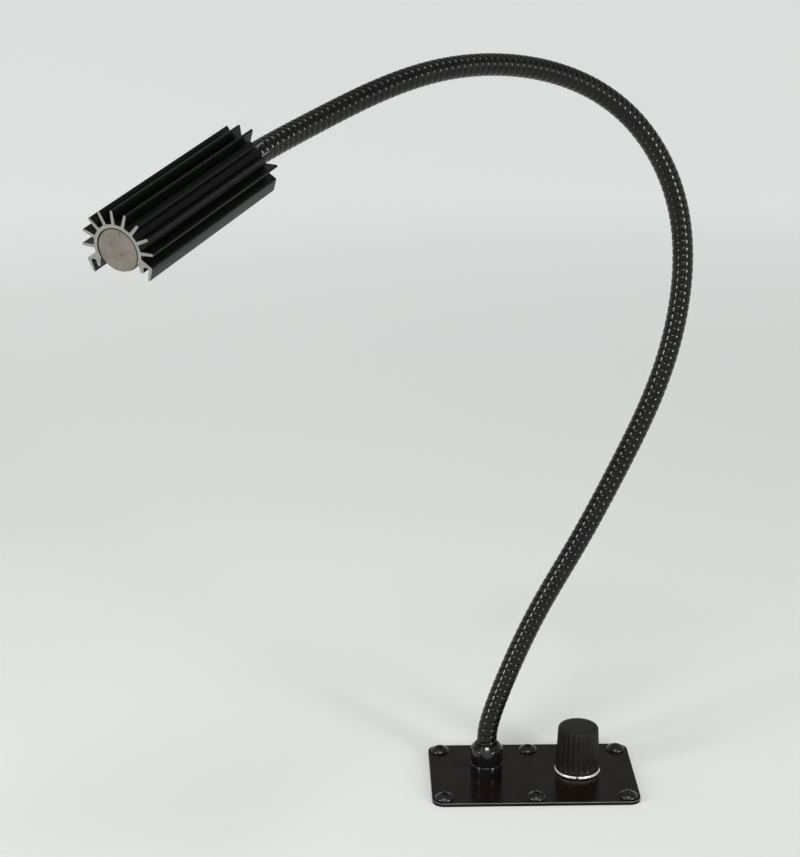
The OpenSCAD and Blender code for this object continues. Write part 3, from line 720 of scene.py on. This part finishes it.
# ---------- lamp head, in millimetres and degrees ----------

head = {
    "boreR": 7.75, "wallR": 8.95, "tipR": 13.67, "fins": 9, "finStep": 22.1,
    "finTip": 0.9, "finRoot": 1.2, "rootRound": 0.4, "legTurn": 115, "boreSteps": 48,
    # right leg, from the wall round to the bore: across, down from the middle, rounding
    "leg": [(8.79, -1.71, 0.5), (12.4, -4.25, 0.2), (12.5, -4.6, 0.2), (10.9, -8.9, 0.2), (10.2, -8.9, 0.2),
            (11.15, -4.4, 0.35), (9.15, -4.4, 0.35), (8.85, -6.6, 0.45), (7.75, -6.6, 0.45), (7.45, -4.3, 0.3)],
}


def headMatrix():
    turn = Matrix.Rotation(radians(neckRoute["headTurn"]), 4, "Z")
    dip = Matrix.Rotation(radians(neckRoute["headDip"]), 4, "Y")
    twist = Matrix.Rotation(radians(neckRoute["headTwist"]), 4, "X")
    return Matrix.Translation(headFront) @ turn @ dip @ twist


def sinkOutline():
    # corners (across, up, rounding) in millimetres, round the outside from the left leg to the right leg
    fins, step, wall, bore = head["fins"], radians(head["finStep"]), head["wallR"], head["boreR"]
    corners = []

    def polar(r, turn, across=0.0):
        return (r * sin(turn) + across * cos(turn), r * cos(turn) - across * sin(turn))

    for i in range(fins):
        turn = (i - (fins - 1) / 2) * step
        tip, root = head["finTip"] / 2, head["finRoot"] / 2
        if i:
            corners.append((*polar(wall, turn - step / 2), 0))
        corners.append((*polar(wall - 0.02, turn, -root), head["rootRound"]))
        corners.append((*polar(head["tipR"], turn, -tip), tip * 0.9))
        corners.append((*polar(head["tipR"], turn, tip), tip * 0.9))
        corners.append((*polar(wall - 0.02, turn, root), head["rootRound"]))
    right = head["leg"]
    corners += right
    # round the bore from the right leg over the top to the left leg
    lowTurn, steps = radians(head["legTurn"]), head["boreSteps"]
    for i in range(steps + 1):
        corners.append((*polar(bore, lowTurn - 2 * lowTurn * i / steps), 0))
    corners += [(-x, y, r) for x, y, r in reversed(right)]
    return [p * mm for p in roundOutline(corners)]


def makeHeatSink(side, end):
    outline = sinkOutline()
    count = len(outline)
    matrix = headMatrix()
    long = neckRoute["headLong"] * mm
    verts = [(0, p.x, p.y) for p in outline] + [(-long, p.x, p.y) for p in outline]
    faces = [tuple(range(count)), tuple(reversed(range(count, 2 * count)))]
    faces += [(i, count + i, count + (i + 1) % count, (i + 1) % count) for i in range(count)]
    slots = [1, 1] + [0] * count
    piece = newPiece("heat_sink_fins", placed(verts, matrix), faces, [side, end], 28, slots)
    finishPiece(piece, "head", "anodised_black", "heat_sink")
    print("heat sink:", count, "points in its outline")


# ---------- collar and knob, in millimetres and degrees ----------

collar = {
    "across": 13.9, "foot": 5.8, "groove": 0.5, "high": 15, "slope": 2, "lipR": 5.05,
    "neckBore": 8.9, "nippleBore": 10.1, "seat": 7.1, "soft": 0.35, "around": 96,
}


def roundProfile(corners, steps=4):
    # a closed profile of (radius, height, rounding) in millimetres, for the lathe
    return [(p.x * mm, p.y * mm) for p in roundOutline(corners, steps)]


def latheRing(name, corners, sides, middle, materials, smoothAngle=35):
    verts, faces = latheMesh(roundProfile(corners), sides, True)
    return newPiece(name, [Vector(v) + middle for v in verts], faces, materials, smoothAngle)


def makeCollar(material):
    c = collar
    outer, soft = c["across"] / 2, c["soft"]
    top = nodeBox("base_plate")[1].z
    middle = Vector((nodeBox("neck_collar")[0].x + outer * mm, 0, top))
    low, high, slot, bore, neck = c["foot"], c["high"], c["groove"], c["nippleBore"] / 2, c["neckBore"] / 2
    foot = latheRing("collar_foot_ring", [
        (bore, 0, 0.1), (outer, 0, 0.15), (outer, low, 0.45), (bore, low, 0.1)],
        c["around"], middle, [material])
    finishPiece(foot, "base", "gloss_black", "collar_foot")
    sleeve = latheRing("neck_collar_sleeve", [
        (bore, low, 0), (outer - slot, low, 0), (outer - slot, low + slot, 0.1), (outer, low + slot, soft),
        (outer, high - c["slope"], 0.7), (c["lipR"], high, 0.3), (neck, high, 0.2), (neck, c["seat"], 0),
        (bore, c["seat"], 0)], c["around"], middle, [material])
    finishPiece(sleeve, "base", "gloss_black", "neck_collar")


ring = {
    "across": 19.8, "wall": 1.4, "round": 0.85, "notchWide": 1.4, "notchDeep": 0.9, "notchTurn": -96, "around": 120,
}


def makeKnobRing(material):
    low, high = nodeBox("knob_ring")
    middle = Vector(((low.x + high.x) / 2, (low.y + high.y) / 2, low.z))
    r, tall = ring["across"] / 2, (high.z - low.z) / mm
    piece = latheRing("knob_foot_ring", [
        (r - ring["wall"], 0, 0.1), (r - 0.15, 0, 0.12), (r, 0.25, 0.12), (r, tall, ring["round"]),
        (r - ring["wall"], tall, 0.1)], ring["around"], middle, [material], 40)
    notch = newPiece("ring_notch", *boxMesh((r - ring["notchDeep"], -ring["notchWide"] / 2, -1),
                                            (r + 1, ring["notchWide"] / 2, tall + 1)), [])
    notch.data.transform(Matrix.Translation(middle) @ Matrix.Rotation(radians(ring["notchTurn"]), 4, "Z"))
    cutOut(piece, [notch])
    smoothBelow(piece.data, 40)
    finishPiece(piece, "knob", "bright_ring", "knob_ring")


knob = {
    "footAcross": 19.4, "topAcross": 17.5, "flutes": 24, "fluteDeep": 0.55, "fluteFrom": 1.4,
    "fluteWide": 0.36,     # half of a flute, as a share of the step between two
    "fluteEase": 0.8,      # height over which a flute grows to its depth
    "fluteFade": 0.5,      # and over which it ends at the crown
    "crown": [(0, 0), (0.35, 0.02), (0.7, 0.06)],  # share of the radius, and how far it lies below the top
    "rim": 1.0, "perFlute": 10, "screwHole": 3.2, "screwRise": 3.5,
    "cavityR": 8.0, "cavityGap": 1, "insertR": 5.05,
}


def makeKnob(material):
    k = knob
    low, high = nodeBox("knob")
    middle = Vector(((low.x + high.x) / 2, (low.y + high.y) / 2, 0))
    base, top = low.z, high.z
    tall = top - base
    footR, topR = k["footAcross"] / 2 * mm, k["topAcross"] / 2 * mm
    cavity = nodeBox("dimmer_bushing")[1].z + k["cavityGap"] * mm - base
    roof = nodeBox("knob_insert")[1].z - base
    rim = k["rim"] * mm
    # down the outside from the slightly domed crown to the foot, then up the inside
    profile = [(topR * share, tall - drop * mm) for share, drop in k["crown"]]
    profile.append((topR - rim * 1.3, tall - 0.11 * mm))
    for i in range(7):
        turn = pi / 2 * (1 - i / 6)
        profile.append((topR - rim + rim * cos(turn), tall - 0.14 * mm - rim + rim * sin(turn)))
    start = profile[-1]
    flat = k["fluteFrom"] * mm
    for i in range(1, 13):
        h = start[1] + (flat - start[1]) * i / 12
        profile.append((footR + (topR - footR) * h / tall, h))
    profile += [(footR - 0.01 * mm, flat * 0.6), (footR, 0.25 * mm), (footR - 0.2 * mm, 0)]
    outerCount = len(profile)
    hollowR, insertR = k["cavityR"] * mm, k["insertR"] * mm
    profile += [(hollowR + 0.15 * mm, 0), (hollowR, 0.15 * mm), (hollowR, cavity), (insertR, cavity),
                (insertR, roof), (0.0, roof)]
    sides = k["flutes"] * k["perFlute"]

    fluteLow = flat * 0.98

    def fluted(r, h, turn):
        if r < topR * 0.8 or h < fluteLow or h >= tall:
            return r
        phase = (turn * k["flutes"] / (2 * pi)) % 1.0
        dip = max(0.0, 1 - ((phase - 0.5) / k["fluteWide"]) ** 2)
        ease = min(1.0, max(0.0, (h - fluteLow) / (k["fluteEase"] * mm)))
        fade = min(1.0, max(0.0, (tall - 0.05 * mm - h) / (k["fluteFade"] * mm)))
        return r - k["fluteDeep"] * mm * dip * sqrt(ease) * fade

    verts, faces = [], []
    count = len(profile)
    for j in range(sides):
        turn = 2 * pi * j / sides
        for i in range(1, count - 1):
            r, h = profile[i]
            rr = fluted(r, h, turn) if i < outerCount else r
            verts.append((rr * cos(turn), rr * sin(turn), h))
    # one column of points a side, with a point in the middle of the crown and of the roof
    column = count - 2
    crown, under = len(verts), len(verts) + 1
    verts += [(0, 0, profile[0][1]), (0, 0, profile[-1][1])]
    for j in range(sides):
        here, beside = j * column, (j + 1) % sides * column
        faces.append((crown, here, beside))
        faces.append((under, beside + column - 1, here + column - 1))
        for i in range(column - 1):
            faces.append((here + i, here + i + 1, beside + i + 1, beside + i))
    lift = Matrix.Translation(middle + Vector((0, 0, base)))
    piece = newPiece("knob_grip", placed(verts, lift), faces, [material], 40)
    hole = solidBar("knob_hole", circlePoints(k["screwHole"] / 2 * mm, 32), 0, 14 * mm)
    hole.data.transform(Matrix.Translation(middle + Vector((0, 0, base + cavity + k["screwRise"] * mm)))
                        @ Matrix.Rotation(radians(-90), 4, "X"))
    cutOut(piece, [hole])
    smoothBelow(piece.data, 40)
    finishPiece(piece, "knob", "knob_plastic", "knob")
    print("knob:", k["flutes"], "flutes")


# ---------- mounting screws, in millimetres and degrees ----------

screw = {
    "head": 8.1, "headTall": 2.3, "rim": 0.55, "thread": 4.17, "root": 3.1, "pitch": 1.6, "long": 19, "tip": 4.2,
    "plain": 1.7,          # length under the head with no thread
    "runOut": 0.8,         # length over which the thread ends there
    "slope": 1.9,          # how steeply a turn rises from the root
    "point": 0.06,         # share of the radius that is left at the tip
    "shankAround": 24, "perTurn": 6,
    "recessWide": 4.9, "recessSlot": 0.95, "recessDeep": 1.75,
    "recessEnd": (0.3, 0.55),  # the recess's floor, as shares of its width and of its slot
    "turn": 30, "turnRight": 37, "inset": 5.2, "around": 72,
}


def screwHead(material):
    c = screw
    r, tall, rim = c["head"] / 2, c["headTall"], c["rim"]
    rise = tall - rim
    ball = (r * r + rise * rise) / (2 * rise)
    profile = [(c["root"] / 2 + 0.2, 0), (r - 0.15, 0), (r, 0.15), (r, rim * 0.75)]
    reach = atan2(r, ball - rise)
    for i in range(1, 15):
        turn = reach * (1 - i / 15)
        profile.append((ball * sin(turn), tall - ball + ball * cos(turn)))
    profile.append((0.02, tall))
    verts, faces = latheMesh([(a * mm, b * mm) for a, b in profile], c["around"])
    latheCaps(verts, faces, len(profile), c["around"])
    head = newPiece("screw_head", verts, faces, [material], 40)
    cutters = []
    for turn in (0, 90):
        # a wedge that narrows downwards, as a cross driver's tip does
        w, t = c["recessWide"] / 2, c["recessSlot"] / 2
        a, b = w * c["recessEnd"][0], t * c["recessEnd"][1]
        top, low = tall + 0.3, tall - c["recessDeep"]
        points = [(-w, -t, top), (w, -t, top), (w, t, top), (-w, t, top), (-a, -b, low), (a, -b, low), (a, b, low),
                  (-a, b, low)]
        sides = [(0, 1, 2, 3), (7, 6, 5, 4), (0, 4, 5, 1), (1, 5, 6, 2), (2, 6, 7, 3), (3, 7, 4, 0)]
        cutter = newPiece("screw_cross", [Vector(q) * mm for q in points], sides, [])
        cutter.data.transform(Matrix.Rotation(radians(turn), 4, "Z"))
        cutters.append(cutter)
    cutOut(head, cutters)
    return head


def screwShank(bm, under):
    # a helical thread from under the head to the point
    c = screw
    sides, steps = c["shankAround"], c["perTurn"]
    low, high = under - c["long"], under
    turns = int((high - low) / c["pitch"]) + 2
    rows = []
    for i in range(-steps, turns * steps + 1):
        row = []
        for j in range(sides):
            h = low + (i / steps + j / sides) * c["pitch"]
            taper = min(1.0, max(c["point"], (h - low) / c["tip"]))
            crest = 1 - abs(((i / steps) % 1.0) - 0.5) * 2
            rise = max(0.0, crest * c["slope"] - (c["slope"] - 1))
            fade = min(1.0, max(0.0, (under - c["plain"] - h) / c["runOut"]))
            r = (c["root"] / 2 + (c["thread"] - c["root"]) / 2 * rise * fade) * taper
            row.append(bm.verts.new(Vector((r * cos(2 * pi * j / sides), r * sin(2 * pi * j / sides),
                                            min(high, max(low, h)))) * mm))
        rows.append(row)
    joinHelix(bm, rows, steps)


def makeScrews(material):
    low, high = nodeBox("base_plate")
    head = screwHead(material)
    bm = bmesh.new()
    screwShank(bm, 0.2)
    shank = bpy.data.meshes.new("screw_shank")
    bm.to_mesh(shank)
    bm.free()
    bm = bmesh.new()
    for x in (low.x + screw["inset"] * mm, (low.x + high.x) / 2, high.x - screw["inset"] * mm):
        for y in (low.y + screw["inset"] * mm, high.y - screw["inset"] * mm):
            turn = radians(screw["turn"] + screw["turnRight"] * (x > 0))
            place = Matrix.Translation((x, y, high.z)) @ Matrix.Rotation(turn, 4, "Z")
            for part in (head.data, shank):
                copy = part.copy()
                copy.transform(place)
                bm.from_mesh(copy)
    bpy.data.objects.remove(head)
    mesh = bpy.data.meshes.new("mounting_screw_set")
    bmesh.ops.remove_doubles(bm, verts=bm.verts, dist=1e-6)
    bm.to_mesh(mesh)
    bm.free()
    piece = dressMesh("mounting_screw_set", mesh, [material], 38)
    finishPiece(piece, "base", "black_screw", "mounting_screws")
    print("screws: 6")


# ---------- dressing the nodes that keep their shape ----------

def dressNode(name, material, bevel=0.0):
    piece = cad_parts[name]
    piece.data.materials.clear()
    piece.data.materials.append(material)
    piece.data.polygons.foreach_set("material_index", [0] * len(piece.data.polygons))
    if bevel:
        bevelEdges(piece, bevel * mm, 2, 40)


print("stage: camera, lights and floor")
makeCamera()
makeStudio()
makeFloor()

print("stage: neck")
coilBlack = paintMaterial("coilBlack", (0.002, 0.002, 0.002), (0.004, 0.0035, 0.0025), (0.07, 0.12),
                          grain=1.5, peel=0.006, shine=0.3)
makeNeck(coilBlack)

print("stage: lamp head")
headTurnBack = (radians(neckRoute["headTwist"]), radians(neckRoute["headDip"]), radians(neckRoute["headTurn"]))
headPlace = tuple(headFront)
anodised = linedMetal("anodisedBlack", (0.002, 0.0025, 0.002), (0.005, 0.006, 0.005), (0.17, 0.26),
                      (12, 2200, 2200), headTurnBack, headPlace, relief=0.008, metallic=0.0, shine=0.2)
sawnEnd = linedMetal("sawnAluminium", (0.245, 0.24, 0.215), (0.335, 0.33, 0.30), (0.38, 0.5),
                     (2500, 60, 2500), headTurnBack, headPlace, relief=0.01, metallic=0.5)
turnedFace = turnedMetal("turnedAluminium", (0.17, 0.145, 0.125), (0.27, 0.235, 0.205), headPlace, headTurnBack,
                         pitch=0.6, relief=0.01, metallic=0.5)
makeHeatSink(anodised, sawnEnd)
dressNode("lamp_core", turnedFace, 0.12)

print("stage: plate, collar, knob and screws")
# the plate's paint carries a painted highlight: a pale band along the upper edge of its sides, where the bevel
# catches the light
satinBlack = paintMaterial("satinBlack", (0.006, 0.004, 0.0025), (0.010, 0.0065, 0.004), (0.17, 0.25),
                           grain=0.6, peel=0.02, shine=0.12, paintedHighlight=((0.14, 0.15, 0.155), 1.3, 1.585))
glossBlack = paintMaterial("glossBlack", (0.003, 0.003, 0.003), (0.006, 0.006, 0.006), (0.06, 0.12),
                           grain=1.5, peel=0.006)
screwBlack = paintMaterial("screwBlack", (0.004, 0.005, 0.005), (0.009, 0.010, 0.010), (0.2, 0.3),
                           grain=1.0, peel=0.01)
knobPlastic = mouldedPlastic("knobPlastic", (0.006, 0.006, 0.004), (0.010, 0.009, 0.007), (0.34, 0.46), shine=0.16)
knobMiddle = (nodeBox("knob")[0] + nodeBox("knob")[1]) / 2
brightRing = turnedMetal("brightRing", (0.78, 0.78, 0.77), (0.88, 0.88, 0.87), tuple(knobMiddle), plane=(1, 1, 0),
                         rough=(0.22, 0.34), metallic=0.45)
dressNode("base_plate", satinBlack, 0.3)
makeCollar(glossBlack)
makeKnob(knobPlastic)
makeScrews(screwBlack)
makeKnobRing(brightRing)

print("stage: works under the plate and in the head")
neckMiddle = tuple((nodeBox("neck_nipple")[0] + nodeBox("neck_nipple")[1]) / 2)
brassThread = threadedMetal("threadedBrass", (0.50, 0.37, 0.15), (0.75, 0.60, 0.30), neckMiddle, 1.0)
brassTurned = turnedMetal("turnedBrass", (0.62, 0.48, 0.22), (0.78, 0.63, 0.33), tuple(knobMiddle), plane=(1, 1, 0))
brassNut = linedMetal("brassNut", (0.60, 0.47, 0.22), (0.77, 0.62, 0.33), stretch=(700, 700, 60))
zinc = linedMetal("zincPlate", (0.55, 0.56, 0.58), (0.70, 0.71, 0.72), (0.25, 0.42), (300, 300, 300), relief=0.006)
zincThread = threadedMetal("threadedZinc", (0.48, 0.49, 0.51), (0.72, 0.73, 0.74), tuple(knobMiddle), 0.75)
contactMetal = linedMetal("contactMetal", (0.62, 0.56, 0.40), (0.78, 0.72, 0.55), (0.2, 0.35), (60, 60, 900))
phenolic = mouldedPlastic("phenolicBoard", (0.20, 0.11, 0.05), (0.30, 0.18, 0.09), (0.45, 0.6), 0.5, 0.02)
boardGreen = circuitBoard("boardGreen", (0.010, 0.085, 0.035), (0.03, 0.17, 0.07))
blackPlastic = mouldedPlastic("blackPlastic", (0.014, 0.014, 0.015), (0.022, 0.022, 0.023), (0.4, 0.55))
sleeveBlue = mouldedPlastic("capacitorSleeve", (0.012, 0.02, 0.06), (0.02, 0.03, 0.085), (0.22, 0.32))
leadJacket = mouldedPlastic("leadJacket", (0.012, 0.012, 0.012), (0.02, 0.02, 0.02), (0.45, 0.6), 0.6, 0.02)
lightBoard = circuitBoard("lightBoard", (0.72, 0.72, 0.69), (0.80, 0.80, 0.77), pitch=4.0)
phosphor = mouldedPlastic("phosphor", (0.72, 0.55, 0.12), (0.82, 0.66, 0.20), (0.3, 0.45), 0.2)
window = clearPlastic("clearWindow", (0.93, 0.96, 0.97))
dress = {
    "neck_nipple": (brassThread, 0), "nipple_washer": (zinc, 0.15), "nipple_nut": (brassNut, 0.25),
    "dimmer_bushing": (zincThread, 0.1), "dimmer_can": (zinc, 0.2), "dimmer_track": (phenolic, 0.08),
    "dimmer_terminals": (contactMetal, 0.06), "dimmer_nut": (zinc, 0.2), "board_standoffs": (zinc, 0.15),
    "board_screws": (zinc, 0.12), "driver_board": (boardGreen, 0.08), "driver_inductor": (blackPlastic, 0.2),
    "driver_capacitors": (sleeveBlue, 0.3), "driver_chips": (blackPlastic, 0.08),
    "power_jack": (blackPlastic, 0.25), "power_jack_pin": (zinc, 0.2), "knob_insert": (brassTurned, 0.1),
    "knob_set_screw": (screwBlack, 0.1),
    "dimmer_shaft": (zinc, 0.15), "dimmer_wiper": (contactMetal, 0.06), "neck_end_sleeve": (zinc, 0.1),
    "core_set_screw": (screwBlack, 0.1), "led_board": (lightBoard, 0.08), "led_emitters": (phosphor, 0.06),
    "led_board_screws": (zinc, 0.12), "lens": (window, 0.1),
}
for name, (material, bevel) in dress.items():
    dressNode(name, material, bevel)
for k in range(1, neckRoute["lengths"] + 1):
    dressNode(f"lead_{k:02d}", leadJacket)

print("stage: finish")
